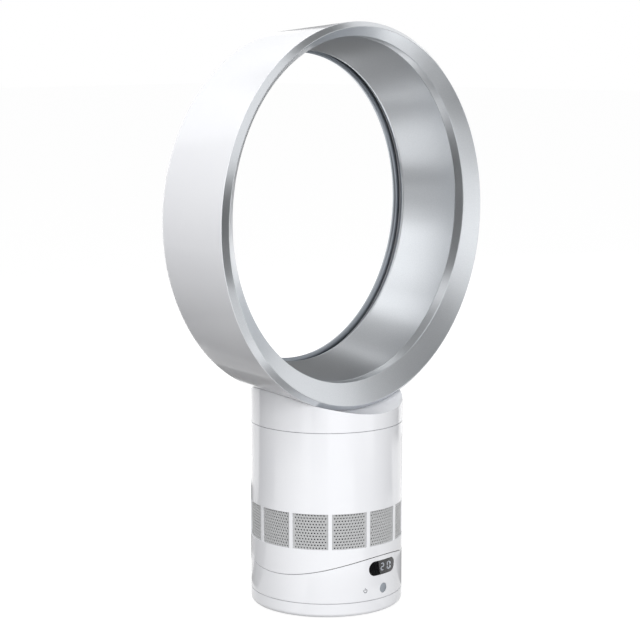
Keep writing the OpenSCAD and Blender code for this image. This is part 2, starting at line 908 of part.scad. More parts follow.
loop_z = body_top + neck_h + loop_r;
loop_rear_r = loop_r - rear_taper;
lip_r = loop_r - lip_in;
throat_r = loop_r - throat_depth;
rim_r = throat_r - rim_in;
front_y = -loop_nose;
rear_y = loop_depth - loop_nose;
trim_y = front_y + trim_w;
lip_y = front_y + lip_depth;
step_y = lip_y + step_depth;
curl_back = 7.4;
curl_y = rear_y - curl_r - slot_w - curl_back;
curl_x = throat_r + curl_r;
rear_round = 8.5;
rim_round = 7.5;
corner_y = rear_y - rear_round;
air_side = 26;
air_end = 8;
air_w = 2 * (inner_r - air_side);
air_d = 2 * (min(corner_y, -trim_y) - air_end);
roof_t = 2.5;
collar_low = body_top + seam / 2;
spigot_t = 2.2;
spigot_down = 9;
gasket_low = duct_top;
gasket_t = 2.4;
collar_floor = gasket_low + gasket_t;
floor_t = 2.2;

module loop_spin(outline, rise = 0) {
    translate([0, 0, loop_z + rise]) rotate([-90, 0, 0]) rotate_extrude($fn = 240) polygon(outline);
}

// The loop's outer form, carried straight on past its front and its rear
module loop_form(grow) {
    past = 2 * body_r;
    loop_spin([
        [0, -past], [loop_r + grow, -past], [loop_r + grow, trim_y], [loop_rear_r + grow, corner_y],
        [loop_rear_r + grow, past], [0, past],
    ]);
}

module air_hole(z0, z1) {
    translate([0, 0, z0]) linear_extrude(z1 - z0) pill(air_w, air_d);
}

module loop_collar() {
    reach = body_top + neck_h + body_r;
    color("white") difference() {
        union() {
            post(0, 0, body_r, collar_low, reach);
            post(0, 0, plug_r, collar_low - spigot_down, collar_low + over);
        }
        loop_form(seat_gap);
        difference() {
            post(0, 0, inner_r, collar_low + floor_t, reach + over);
            loop_form(seat_gap + roof_t);
        }
        post(0, 0, plug_r - spigot_t, collar_low - spigot_down - over, collar_floor);
        post(0, 0, duct_r - over, collar_floor - over, collar_low + floor_t + over);
        air_hole(collar_low + floor_t, loop_z);
    }
}

module duct_gasket() {
    color("dimgray") tube(duct_r + duct_wall + over, duct_r - over / 2, gasket_low, collar_floor);
}

// A ring whose outline is a list of [radius, y, rise], so its circles need not share a centre
module eccentric_ring(outline) {
    n = len(outline);
    points = [for (p = outline, k = [0:loop_sides - 1]) let (a = 360 * k / loop_sides)
        [p[0] * cos(a), p[1], loop_z + p[2] + p[0] * sin(a)]];
    faces = [for (i = [0:n - 1], k = [0:loop_sides - 1])
        let (m = (k + 1) % loop_sides, a = i * loop_sides, j = (i + 1) % n * loop_sides)
        each [[a + k, a + m, j + m], [a + k, j + m, j + k]]];
    polyhedron(points, faces);
}

function raised(points, rise) = [for (p = points) [p[0], p[1], rise]];

loop_sides = 96;
lip_face = curl_r + slot_w;
slot_from = 115;
slot_steps = 3;
shell_in = rear_y - loop_wall;

// The skin is centred on the loop, and the rear rim and the slot on the opening above it
module loop_outer_shell() {
    color("white") difference() {
        eccentric_ring(concat(
            raised([[loop_r - loop_wall, trim_y], [loop_r, trim_y]], 0),
            raised(arc(loop_rear_r - rear_round, corner_y, rear_round, 0, 90, edge_steps), 0),
            raised(arc(rim_r + rim_round, rear_y - rim_round, rim_round, 90, 180, edge_steps), bore_rise),
            raised(arc(curl_x, curl_y, lip_face, slot_from, 90, slot_steps), bore_rise),
            raised([[curl_x, shell_in]], bore_rise),
            raised(arc(loop_rear_r - rear_round, corner_y, rear_round - loop_wall, 90, 0, edge_steps), 0)
        ));
        air_hole(loop_z - loop_r - over, loop_z - loop_r + air_w / 4);
    }
}

module loop_inner_shell() {
    front = step_y + seat_gap;
    color("silver") loop_spin(concat(
        [[lip_r + loop_wall, front]],
        arc(curl_x, curl_y, curl_r - loop_wall, 180, 90, edge_steps),
        arc(curl_x, curl_y, curl_r, 90, 180, edge_steps),
        [[lip_r, front]]
    ), bore_rise);
}

nose_flat = 1;
nose_in = 3.2;
lap = 4;
lap_y = trim_y + lap;
taper = (loop_r - loop_rear_r) / (corner_y - trim_y);
lap_r = loop_r - loop_wall - slip - taper * lap;

module loop_front_ring() {
    color("silver") eccentric_ring([
        [lip_r, lip_y, bore_rise],
        [loop_r - nose_in, front_y, 0],
        [loop_r - nose_flat, front_y + nose_in / 2, 0],
        [loop_r, trim_y - seat_gap, 0],
        [lap_r, trim_y - seat_gap, 0],
        [lap_r, lap_y, 0],
        [lap_r - loop_wall, lap_y, 0],
        [lap_r - loop_wall, front_y + 2 * loop_wall, 0],
        [lip_r + loop_wall, lip_y + over, bore_rise],
        [lip_r + loop_wall, step_y, bore_rise],
        [lip_r, step_y, bore_rise],
    ]);
}

spacers = 16;
spacer_half = 0.7;
spacer_w = 3;

module slot_spacers() {
    r0 = curl_x - spacer_w / 2;
    y0 = curl_y + curl_r;
    color("silver") for (i = [0:spacers - 1])
        translate([0, 0, loop_z + bore_rise]) rotate([-90, 0, 0])
            rotate([0, 0, 360 * (i + 0.5) / spacers])
            rotate_extrude(angle = 2 * spacer_half) translate([r0, y0])
                square([spacer_w / 2, slot_w - seat_gap]);
}

foot_shell();
foot_pad();
base_plate();
foot_screws();
glide_ring();
cord_gland();
cord_clamp();
spindle();
fixed_gear();
spindle_screws();
retaining_ring();
control_housing();
turntable_plate();
hub_bush();
tilt_cradle();
plate_screws();
display_window();
display_board();
digit_display();
infrared_receiver();
button_switch();
control_board();
oscillation_motor();
motor_screws();
drive_pinion();
power_button();
body_shell();
inlet_grille();
tilt_plate();
rail_keepers();
keeper_screws();
silencer_foam();
mount_ring();
inlet_bellmouth();
impeller_shroud();
vane_bucket();
bucket_cap();
motor_stator();
motor_bearings();
motor_shaft();
motor_rotor();
impeller();
duct_gasket();
loop_collar();
loop_outer_shell();
loop_inner_shell();
loop_front_ring();
slot_spacers();
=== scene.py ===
# Bladeless table fan in white plastic and silver lacquer, dressed for its pictures.
# Metres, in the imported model's own frame: the front faces -Y and Z is up.
import math

import bpy
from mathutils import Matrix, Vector


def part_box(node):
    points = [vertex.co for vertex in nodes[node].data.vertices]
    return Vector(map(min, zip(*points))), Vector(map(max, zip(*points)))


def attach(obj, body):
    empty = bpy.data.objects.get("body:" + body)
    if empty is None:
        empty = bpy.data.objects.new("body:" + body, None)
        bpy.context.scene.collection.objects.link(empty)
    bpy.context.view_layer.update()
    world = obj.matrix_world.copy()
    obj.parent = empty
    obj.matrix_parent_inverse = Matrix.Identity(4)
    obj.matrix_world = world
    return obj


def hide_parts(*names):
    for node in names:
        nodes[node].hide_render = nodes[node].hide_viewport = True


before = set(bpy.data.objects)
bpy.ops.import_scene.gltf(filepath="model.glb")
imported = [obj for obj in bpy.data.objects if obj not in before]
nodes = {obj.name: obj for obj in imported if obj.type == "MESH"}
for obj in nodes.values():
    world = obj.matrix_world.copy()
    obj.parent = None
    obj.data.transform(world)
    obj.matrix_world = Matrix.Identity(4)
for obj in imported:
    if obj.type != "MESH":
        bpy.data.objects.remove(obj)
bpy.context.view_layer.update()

# Foot
# A round foot of injection-moulded white ABS over a steel base plate, screwed together from
# below. A rubber ring under it grips the table, and a rubber gland stands in its rear wall.

mm = 0.001


def linear(code):
    """The linear RGBA of an sRGB hex colour."""
    parts = [int(code[i : i + 2], 16) / 255 for i in (1, 3, 5)]
    return [c / 12.92 if c <= 0.04045 else ((c + 0.055) / 1.055) ** 2.4 for c in parts] + [1]


def add(tree, kind, values=None, links=None, **settings):
    """Adds a node to a tree, with its settings, the values of its sockets and what feeds them."""
    node = tree.nodes.new(kind)
    for name, value in settings.items():
        setattr(node, name, value)
    for socket, value in (values or {}).items():
        node.inputs[socket].default_value = value
    for socket, source in (links or {}).items():
        tree.links.new(source, node.inputs[socket])
    return node


def empty_material(name):
    """A new material and its node tree, with no nodes yet."""
    material = bpy.data.materials.new(name)
    material.use_nodes = True
    material.node_tree.nodes.clear()
    return material, material.node_tree


def start_material(name, values):
    """A new material with its shader, and the place on the object, in metres, for its patterns."""
    material, tree = empty_material(name)
    shader = add(tree, "ShaderNodeBsdfPrincipled", values)
    add(tree, "ShaderNodeOutputMaterial", links={"Surface": shader.outputs["BSDF"]})
    place = add(tree, "ShaderNodeTexCoord").outputs["Object"]
    return material, tree, shader, place


def moulded_abs(name, shade, rough):
    """Injection-moulded ABS or nylon: an even colour, with the faint ripple and the slow change
    of gloss that the mould's polish leaves."""
    material, tree, shader, place = start_material(name, {"IOR": 1.53})
    ripple_size = 3.5 * mm
    cloud_size = 45 * mm
    cloud = add(tree, "ShaderNodeTexNoise", {"Scale": 1 / cloud_size, "Detail": 2}, {"Vector": place})
    tint = add(
        tree, "ShaderNodeMix", {"A": linear(shade[0]), "B": linear(shade[1])},
        {"Factor": cloud.outputs["Fac"]}, data_type="RGBA",
    )
    gloss = add(
        tree, "ShaderNodeMapRange", {"To Min": rough[0], "To Max": rough[1]},
        {"Value": cloud.outputs["Fac"]},
    )
    ripple = add(tree, "ShaderNodeTexNoise", {"Scale": 1 / ripple_size, "Detail": 1}, {"Vector": place})
    bump = add(
        tree, "ShaderNodeBump", {"Strength": 0.05, "Distance": 0.05 * mm},
        {"Height": ripple.outputs["Fac"]},
    )
    tree.links.new(tint.outputs["Result"], shader.inputs["Base Color"])
    tree.links.new(gloss.outputs["Result"], shader.inputs["Roughness"])
    tree.links.new(bump.outputs["Normal"], shader.inputs["Normal"])
    return material


def dress(material, *names):
    """Gives CAD nodes a finish in place of the one they came with."""
    for name in names:
        for slot in nodes[name].material_slots:
            slot.material = material


def moulded_rubber(name, shade, rough):
    """Moulded rubber: matt, with a fine grain from the spark-eroded mould."""
    material, tree, shader, place = start_material(name, {"IOR": 1.5, "Roughness": rough})
    grain_size = 0.6 * mm
    grain = add(tree, "ShaderNodeTexNoise", {"Scale": 1 / grain_size, "Detail": 3}, {"Vector": place})
    tint = add(
        tree, "ShaderNodeMix", {"A": linear(shade[0]), "B": linear(shade[1])},
        {"Factor": grain.outputs["Fac"]}, data_type="RGBA",
    )
    bump = add(
        tree, "ShaderNodeBump", {"Strength": 0.4, "Distance": 0.08 * mm},
        {"Height": grain.outputs["Fac"]},
    )
    tree.links.new(tint.outputs["Result"], shader.inputs["Base Color"])
    tree.links.new(bump.outputs["Normal"], shader.inputs["Normal"])
    return material


def rolled_steel(name, shade, rough, streak_width):
    """Steel sheet or bar: a metal whose faint streaks run along X, as it was rolled or ground."""
    material, tree, shader, place = start_material(name, {"Metallic": 1})
    streak_stretch = 20
    rough_spread = 0.08
    stretch = add(
        tree, "ShaderNodeMapping", {"Scale": (1 / streak_stretch, 1, 1)}, {"Vector": place}
    )
    streak = add(
        tree, "ShaderNodeTexNoise", {"Scale": 1 / streak_width, "Detail": 3},
        {"Vector": stretch.outputs["Vector"]},
    )
    tint = add(
        tree, "ShaderNodeMix", {"A": linear(shade[0]), "B": linear(shade[1])},
        {"Factor": streak.outputs["Fac"]}, data_type="RGBA",
    )
    gloss = add(
        tree, "ShaderNodeMapRange", {"To Min": rough - rough_spread, "To Max": rough + rough_spread},
        {"Value": streak.outputs["Fac"]},
    )
    tree.links.new(tint.outputs["Result"], shader.inputs["Base Color"])
    tree.links.new(gloss.outputs["Result"], shader.inputs["Roughness"])
    return material


white_gloss = moulded_abs("white_gloss", ("#eeeff3", "#f2f3f6"), rough=(0.1, 0.16))
black_rubber = moulded_rubber("black_rubber", ("#2b2b2c", "#383839"), rough=0.8)
grey_rubber = moulded_rubber("grey_rubber", ("#55575a", "#626468"), rough=0.72)
plated_steel = rolled_steel(
    "plated_steel", ("#b9bcbe", "#cdd0d2"), rough=0.32, streak_width=0.8 * mm
)
dress(white_gloss, "foot_shell")
dress(black_rubber, "foot_pad")
dress(grey_rubber, "cord_gland", "cord_clamp")
dress(plated_steel, "base_plate", "foot_screws")

# Turning joint
# A hollow acetal spindle stands on the base plate and carries the fixed gear. A sintered
# bronze bush turns on it, held by a spring-steel ring, over a slippery ring of acetal.


def moulded_acetal(name, shade):
    """Acetal: waxy and a little see-through at its edges."""
    material, tree, shader, place = start_material(
        name, {"IOR": 1.48, "Roughness": 0.38, "Subsurface Weight": 0.12, "Subsurface Scale": 2 * mm}
    )
    cloud_size = 6 * mm
    cloud = add(tree, "ShaderNodeTexNoise", {"Scale": 1 / cloud_size, "Detail": 2}, {"Vector": place})
    tint = add(
        tree, "ShaderNodeMix", {"A": linear(shade[0]), "B": linear(shade[1])},
        {"Factor": cloud.outputs["Fac"]}, data_type="RGBA",
    )
    tree.links.new(tint.outputs["Result"], shader.inputs["Base Color"])
    return material


def sintered_bronze(name, shade):
    """Sintered bronze: a warm metal pricked with the fine pores that hold its oil."""
    material, tree, shader, place = start_material(name, {"Metallic": 1, "Roughness": 0.42})
    pore_pitch = 0.5 * mm
    pores = add(tree, "ShaderNodeTexVoronoi", {"Scale": 1 / pore_pitch}, {"Vector": place})
    depth = add(
        tree, "ShaderNodeMapRange", {"From Max": 0.35}, {"Value": pores.outputs["Distance"]}
    )
    tint = add(
        tree, "ShaderNodeMix", {"A": linear(shade[0]), "B": linear(shade[1])},
        {"Factor": depth.outputs["Result"]}, data_type="RGBA",
    )
    tree.links.new(tint.outputs["Result"], shader.inputs["Base Color"])
    return material


ivory_acetal = moulded_acetal("ivory_acetal", ("#e9e4d4", "#f0ecdf"))
bronze = sintered_bronze("bronze", ("#6b4a2a", "#b98a55"))
dress(ivory_acetal, "spindle", "fixed_gear", "glide_ring", "drive_pinion")
dress(plated_steel, "spindle_screws", "retaining_ring")
dress(bronze, "hub_bush")

# Turntable and tilt cradle
# A steel plate on the bush carries the housing, the oscillation motor and the boards. Four
# screws from below hold the curved cradle of satin ABS, through the plate, by its posts.


def etched_board(name, mask, copper):
    """Glass-fibre board under green solder mask, with the raised tracks showing through."""
    material, tree, shader, place = start_material(name, {"IOR": 1.5, "Roughness": 0.3})
    track_pitch = 0.55 * mm
    row_height = 0.25
    tracks = add(
        tree, "ShaderNodeTexBrick",
        {
            "Scale": row_height / track_pitch, "Row Height": row_height, "Mortar Size": 0.12,
            "Color1": linear(mask), "Color2": linear(mask), "Mortar": linear(copper),
        },
        {"Vector": place},
    )
    bump = add(
        tree, "ShaderNodeBump", {"Strength": 0.3, "Distance": 0.05 * mm},
        {"Height": tracks.outputs["Fac"]},
    )
    tree.links.new(tracks.outputs["Color"], shader.inputs["Base Color"])
    tree.links.new(bump.outputs["Normal"], shader.inputs["Normal"])
    return material


white_satin = moulded_abs("white_satin", ("#e4e5e6", "#eaebec"), rough=(0.34, 0.44))
circuit_board = etched_board("circuit_board", mask="#1d5a38", copper="#2f7a4c")
black_moulding = moulded_abs("black_moulding", ("#151517", "#1c1c1f"), rough=(0.35, 0.45))
dress(white_satin, "tilt_cradle")
dress(plated_steel, "turntable_plate", "plate_screws", "oscillation_motor", "motor_screws")
dress(circuit_board, "display_board", "control_board")
dress(black_moulding, "digit_display", "infrared_receiver", "button_switch")

# Control housing
# One gloss ABS moulding, a short tube over the foot. Its four lugs are clamped between the
# turntable plate and the cradle's posts, and its curved top edge follows the tilt seam.

dress(white_gloss, "control_housing")

# Display
# A smoked polycarbonate window, snapped in flush with the housing, over a two-digit light
# display on its board. The digits are white segments that shine through the tint.


def smoked_polycarbonate(name, shade):
    """Smoked polycarbonate: dark, clear and mirror-smooth, with a trace of moulding ripple."""
    material, tree, shader, place = start_material(
        name, {"IOR": 1.58, "Roughness": 0.03, "Transmission Weight": 0.92}
    )
    ripple_size = 6 * mm
    ripple = add(tree, "ShaderNodeTexNoise", {"Scale": 1 / ripple_size}, {"Vector": place})
    tint = add(
        tree, "ShaderNodeMix", {"A": linear(shade[0]), "B": linear(shade[1])},
        {"Factor": ripple.outputs["Fac"]}, data_type="RGBA",
    )
    bump = add(
        tree, "ShaderNodeBump", {"Strength": 0.04, "Distance": 0.05 * mm},
        {"Height": ripple.outputs["Fac"]},
    )
    tree.links.new(tint.outputs["Result"], shader.inputs["Base Color"])
    tree.links.new(bump.outputs["Normal"], shader.inputs["Normal"])
    return material


def light_segment(name, shade, strength):
    """A diffusing cap over a light-emitting diode: a white glow that is very slightly cloudy."""
    material, tree, shader, place = start_material(
        name, {"IOR": 1.5, "Roughness": 0.4, "Emission Color": linear(shade)}
    )
    cap_size = 1.5 * mm
    dimmest = 0.85
    cloud = add(tree, "ShaderNodeTexNoise", {"Scale": 1 / cap_size}, {"Vector": place})
    glow = add(
        tree, "ShaderNodeMapRange", {"To Min": dimmest * strength, "To Max": strength},
        {"Value": cloud.outputs["Fac"]},
    )
    shader.inputs["Base Color"].default_value = linear(shade)
    tree.links.new(glow.outputs["Result"], shader.inputs["Emission Strength"])
    return material


def make_piece(name, points, faces, material, body, slot):
    """A new mesh object that rides on a body, with its finish. The slot it is given is not used."""
    mesh = bpy.data.meshes.new(name)
    mesh.from_pydata(points, [], faces)
    mesh.validate()
    mesh.shade_smooth()
    piece = bpy.data.objects.new(name, mesh)
    bpy.context.scene.collection.objects.link(piece)
    mesh.materials.append(material)
    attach(piece, body)
    return piece


smoke = smoked_polycarbonate("smoke", ("#414245", "#48494c"))
segment_light = light_segment("segment_light", "#f2f6fa", strength=9)
dress(smoke, "display_window")

display_low, display_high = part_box("digit_display")
digit_height = 6.4 * mm
digit_width = 3.6 * mm
digit_pitch = 8.7 * mm
digit_shift = 3 * mm
segment_width = 0.9 * mm
segment_depth = 0.3 * mm
segment_space = 0.25 * mm
segments_of = {"2": "abged", "0": "abcdef"}


def segment_bar(x0, z0, x1, z1, front):
    """The corners of one bar with pointed ends, seen from the front."""
    along = Vector((x1 - x0, 0, z1 - z0))
    step = along.normalized() * segment_width / 2
    side = Vector((-step.z, 0, step.x))
    gap = along.normalized() * segment_space
    start = Vector((x0, front, z0)) + gap
    end = Vector((x1, front, z1)) - gap
    return [start, start + step + side, end - step + side, end, end - step - side, start + step - side]


def make_digits(text):
    """The lit segments of all the digits, as one mesh."""
    points, faces = [], []
    middle_x = (display_low.x + display_high.x) / 2
    middle_z = (display_low.z + display_high.z) / 2
    front = display_low.y - segment_depth
    w, h = digit_width / 2, digit_height / 2
    lines = {
        "a": (-w, h, w, h), "b": (w, h, w, 0), "c": (w, 0, w, -h), "d": (-w, -h, w, -h),
        "e": (-w, 0, -w, -h), "f": (-w, h, -w, 0), "g": (-w, 0, w, 0),
    }
    for place, digit in enumerate(text):
        x = middle_x + digit_shift + (place - (len(text) - 1) / 2) * digit_pitch
        for key in segments_of[digit]:
            x0, z0, x1, z1 = lines[key]
            corners = segment_bar(x + x0, middle_z + z0, x + x1, middle_z + z1, front)
            back = [corner + Vector((0, segment_depth, 0)) for corner in corners]
            first = len(points)
            count = len(corners)
            points += [tuple(p) for p in corners + back]
            faces.append(list(range(first, first + count)))
            faces.append([first + count + i for i in reversed(range(count))])
            for i in range(count):
                j = (i + 1) % count
                faces.append([first + j, first + i, first + count + i, first + count + j])
    return make_piece("digit_segments", points, faces, segment_light, "turntable", "display_black")


make_digits("20")

# Power button
# A dished round button of ABS, sprayed with a grey silver lacquer. It stands in a hole of the
# housing, and the dome inside its switch springs it back.


def sprayed_silver(name, shade, rough, metal):
    """Silver lacquer: fine aluminium flakes under clear coat, sprayed on ABS. The flakes, a
    tenth of a millimetre in the real paint, are drawn a little coarser so that they show."""
    material, tree, shader, place = start_material(
        name, {"Metallic": metal, "Coat Weight": 0.3, "Coat Roughness": 0.12}
    )
    flake_size = 0.35 * mm
    cloud_size = 30 * mm
    rough_spread = 0.02
    flakes = add(tree, "ShaderNodeTexVoronoi", {"Scale": 1 / flake_size}, {"Vector": place})
    glint = add(tree, "ShaderNodeSeparateColor", links={"Color": flakes.outputs["Color"]})
    tint = add(
        tree, "ShaderNodeMix", {"A": linear(shade[0]), "B": linear(shade[1])},
        {"Factor": glint.outputs["Red"]}, data_type="RGBA",
    )
    cloud = add(tree, "ShaderNodeTexNoise", {"Scale": 1 / cloud_size, "Detail": 2}, {"Vector": place})
    gloss = add(
        tree, "ShaderNodeMapRange", {"To Min": rough, "To Max": rough + rough_spread},
        {"Value": cloud.outputs["Fac"]},
    )
    tree.links.new(tint.outputs["Result"], shader.inputs["Base Color"])
    tree.links.new(gloss.outputs["Result"], shader.inputs["Roughness"])
    return material


# Grey lacquer for the button; the same dark tone also colours the painted slot shade on the loop.
button_lacquer_and_slot_shade = sprayed_silver("button_lacquer_and_slot_shade", ("#9298a0", "#989ea5"), rough=0.3, metal=0.8)
dress(button_lacquer_and_slot_shade, "power_button")

# Power mark
# The power sign, pad-printed in grey on the housing beside the button: an open ring with a
# bar through its gap.


def satin_coat(name, shade):
    """Pad-printing ink or powder coat: satin, with the fine orange peel of a coat that flowed."""
    material, tree, shader, place = start_material(name, {"IOR": 1.5, "Roughness": 0.45})
    peel_size = 0.8 * mm
    peel = add(tree, "ShaderNodeTexNoise", {"Scale": 1 / peel_size, "Detail": 2}, {"Vector": place})
    tint = add(
        tree, "ShaderNodeMix", {"A": linear(shade[0]), "B": linear(shade[1])},
        {"Factor": peel.outputs["Fac"]}, data_type="RGBA",
    )
    bump = add(
        tree, "ShaderNodeBump", {"Strength": 0.2, "Distance": 0.05 * mm},
        {"Height": peel.outputs["Fac"]},
    )
    tree.links.new(tint.outputs["Result"], shader.inputs["Base Color"])
    tree.links.new(bump.outputs["Normal"], shader.inputs["Normal"])
    return material


mark_ink = satin_coat("mark_ink", ("#7d7f84", "#86888d"))
housing_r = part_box("control_housing")[1].x
button_low, button_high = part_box("power_button")
ink_depth = 0.05 * mm
mark_angle = math.radians(-17.5)
mark_over_button = 0.6 * mm
mark_z = (button_low.z + button_high.z) / 2 + mark_over_button
mark_r = 2.1 * mm
mark_line = 0.7 * mm
mark_gap_degrees = 70
mark_steps = 16
bar_foot = 0.4 * mm


def on_housing(x, z, lift):
    """A point of the mark, wrapped on the round housing."""
    turn = mark_angle + x / housing_r
    radius = housing_r + lift
    return (radius * math.sin(turn), -radius * math.cos(turn), mark_z + z)


def make_mark():
    """The mark's two strokes, each a strip of quads with a front and a rim."""
    sweep = 360 - mark_gap_degrees
    turns = [mark_gap_degrees / 2 + sweep * i / mark_steps for i in range(mark_steps + 1)]
    ring = [(math.sin(math.radians(t)), math.cos(math.radians(t))) for t in turns]
    strokes = [
        [(x * (mark_r - mark_line), z * (mark_r - mark_line), x * mark_r, z * mark_r) for x, z in ring],
        [(-mark_line / 2, z, mark_line / 2, z) for z in (bar_foot, mark_r + mark_line)],
    ]
    points, faces = [], []
    for stroke in strokes:
        first = len(points)
        for x0, z0, x1, z1 in stroke:
            points += [on_housing(x0, z0, ink_depth), on_housing(x1, z1, ink_depth)]
            points += [on_housing(x1, z1, -ink_depth), on_housing(x0, z0, -ink_depth)]
        for i in range(len(stroke) - 1):
            for k in range(4):
                a, b = first + 4 * i + k, first + 4 * i + (k + 1) % 4
                faces.append((a, b, b + 4, a + 4))
        last = first + 4 * (len(stroke) - 1)
        faces += [(first + 3, first + 2, first + 1, first), (last, last + 1, last + 2, last + 3)]
    return points, faces


make_piece("power_mark", *make_mark(), mark_ink, "turntable", "white_gloss")

# Body
# A gloss ABS tube with twelve windows for the inlet grille. Under it a satin ABS plate
# slides in the cradle on two rails, kept in by steel keepers.

dress(white_gloss, "body_shell")
dress(white_satin, "tilt_plate")
dress(plated_steel, "rail_keepers", "keeper_screws")

# Inlet grille
# One strip of painted sheet, punched with staggered round holes and rolled into a band,
# which stands behind the body's windows.

grille_low, grille_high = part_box("inlet_grille")
grille_r = grille_high.x
grille_t = 1.2 * mm
grille_lap = 2.6 * mm
hole_rows = 12
holes_round = 156
hole_r = 0.7 * mm
hole_sides = 12
rim_start = -0.85 * math.pi
panel_count = 12
rib_width = 3.6 * mm


def make_grille():
    """The punched band: brick-shaped cells, each with a round hole, on both of its faces."""
    points, faces, known = [], [], {}
    low, high = grille_low.z + grille_lap, grille_high.z - grille_lap
    row_height = (high - low) / hole_rows
    cell = 2 * math.pi / holes_round
    rib_angle = (rib_width / 2 + 2 * hole_r) / grille_r
    cell_ticks = 240
    z_digits = 7

    def point(angle, z, radius):
        """The number of the point there. Cells that meet share their points."""
        tick = round(angle / cell * cell_ticks) % (holes_round * cell_ticks)
        key = (tick, round(z, z_digits), radius)
        if key not in known:
            known[key] = len(points)
            points.append((radius * math.sin(angle), -radius * math.cos(angle), z))
        return known[key]

    def cell_edge(angle, z0, z1, radius):
        """The outline of a cell: its corners and the middles of its long sides."""
        corners = [(-0.5, z0), (0, z0), (0.5, z0), (0.5, z1), (0, z1), (-0.5, z1)]
        return [point(angle + share * cell, z, radius) for share, z in corners]

    def hole_edge(angle, z, radius):
        """The rim of a hole, from the point that faces the cell's first corner."""
        turns = [2 * math.pi * (i + 0.5) / hole_sides + rim_start for i in range(hole_sides)]
        return [
            point(angle + hole_r * math.cos(t) / radius, z + hole_r * math.sin(t), radius)
            for t in turns
        ]

    def clear_of_ribs(angle):
        """Whether a hole there shows in a window, and isn't behind a rib of the body."""
        to_rib = (angle * panel_count / (2 * math.pi) - 0.5) % 1
        return min(to_rib, 1 - to_rib) * 2 * math.pi / panel_count > rib_angle

    radii = (grille_r, grille_r - grille_t)
    for row in range(hole_rows):
        z0, z1 = low + row * row_height, low + (row + 1) * row_height
        for column in range(holes_round):
            angle = (column + 0.5 * (row % 2)) * cell
            outer, inner = (cell_edge(angle, z0, z1, radius) for radius in radii)
            if not clear_of_ribs(angle):
                faces.append(outer)
                faces.append(inner[::-1])
                continue
            rims = [hole_edge(angle, (z0 + z1) / 2, radius) for radius in radii]
            for corners, rim, order in ((outer, rims[0], 1), (inner, rims[1], -1)):
                for i in range(len(corners)):
                    a, b = corners[i], corners[(i + 1) % len(corners)]
                    h0, h1, h2 = (rim[(2 * i + k) % hole_sides] for k in range(3))
                    faces.append([a, b, h2, h1][::order])
                    faces.append([a, h1, h0][::order])
            for i in range(hole_sides):
                j = (i + 1) % hole_sides
                faces.append([rims[0][i], rims[0][j], rims[1][j], rims[1][i]])
    for column in range(2 * holes_round):
        a, b = column * cell / 2, (column + 1) * cell / 2
        for z0, z1 in ((grille_low.z, low), (high, grille_high.z)):
            for radius, order in zip(radii, (1, -1)):
                corners = [(a, z0), (b, z0), (b, z1), (a, z1)]
                faces.append([point(t, z, radius) for t, z in corners][::order])
        for z, order in ((grille_low.z, -1), (grille_high.z, 1)):
            corners = [(a, radii[0]), (b, radii[0]), (b, radii[1]), (a, radii[1])]
            faces.append([point(t, z, radius) for t, radius in corners][::order])
    return points, faces


grille_paint = satin_coat("grille_paint", ("#b6b7b8", "#c0c1c2"))
punched_grille = make_piece("punched_grille", *make_grille(), grille_paint, "head", "grille_grey")
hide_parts("inlet_grille")

# Air mover
# Glass-filled nylon ducts round a brushless motor. The mixed-flow impeller lifts the air
# into the bucket's vanes. Open foam under the inlet and rubber rings quieten it.


def open_foam(name, shade):
    """Open-cell polyurethane foam: small dark cells between paler struts."""
    material, tree, shader, place = start_material(name, {"IOR": 1.45, "Roughness": 0.95})
    cell_size = 1.4 * mm
    cells = add(tree, "ShaderNodeTexVoronoi", {"Scale": 1 / cell_size}, {"Vector": place})
    tint = add(
        tree, "ShaderNodeMix", {"A": linear(shade[0]), "B": linear(shade[1])},
        {"Factor": cells.outputs["Distance"]}, data_type="RGBA",
    )
    bump = add(
        tree, "ShaderNodeBump", {"Strength": 0.8, "Distance": 0.5 * mm},
        {"Height": cells.outputs["Distance"]},
    )
    tree.links.new(tint.outputs["Result"], shader.inputs["Base Color"])
    tree.links.new(bump.outputs["Normal"], shader.inputs["Normal"])
    return material


def stacked_laminations(name, shade):
    """Silicon-steel laminations: thin sheets stacked along Z, with a dark line between two. The
    sheets, half a millimetre in the real stack, are drawn twice as thick so that they show."""
    material, tree, shader, place = start_material(name, {"Metallic": 1, "Roughness": 0.4})
    sheet_pitch = 1 * mm
    wave_phase = 20  # radians that the wave texture turns through in each unit
    stack = add(
        tree, "ShaderNodeTexWave", {"Scale": 2 * math.pi / wave_phase / sheet_pitch},
        {"Vector": place}, bands_direction="Z",
    )
    tint = add(
        tree, "ShaderNodeMix", {"A": linear(shade[0]), "B": linear(shade[1])},
        {"Factor": stack.outputs["Fac"]}, data_type="RGBA",
    )
    tree.links.new(tint.outputs["Result"], shader.inputs["Base Color"])
    return material


filled_nylon = moulded_abs("filled_nylon", ("#5a5c5f", "#66686b"), rough=(0.4, 0.55))
impeller_nylon = moulded_abs("impeller_nylon", ("#a9abad", "#b3b5b7"), rough=(0.3, 0.42))
grey_foam = open_foam("grey_foam", ("#2c2d2f", "#6d6f72"))
laminations = stacked_laminations("laminations", ("#4d5054", "#8b8f93"))
ground_steel = rolled_steel(
    "ground_steel", ("#c4c6c8", "#d2d4d6"), rough=0.2, streak_width=0.3 * mm
)
dress(filled_nylon, "inlet_bellmouth", "impeller_shroud", "vane_bucket", "bucket_cap")
dress(impeller_nylon, "impeller")
dress(grey_foam, "silencer_foam")
dress(grey_rubber, "mount_ring", "duct_gasket")
dress(laminations, "motor_stator", "motor_rotor")
dress(ground_steel, "motor_shaft", "motor_bearings")

# Collar
# A gloss ABS neck that carries the loop. It is pushed into the body, and its top is shaped
# to the loop's round underside.

dress(white_gloss, "loop_collar")
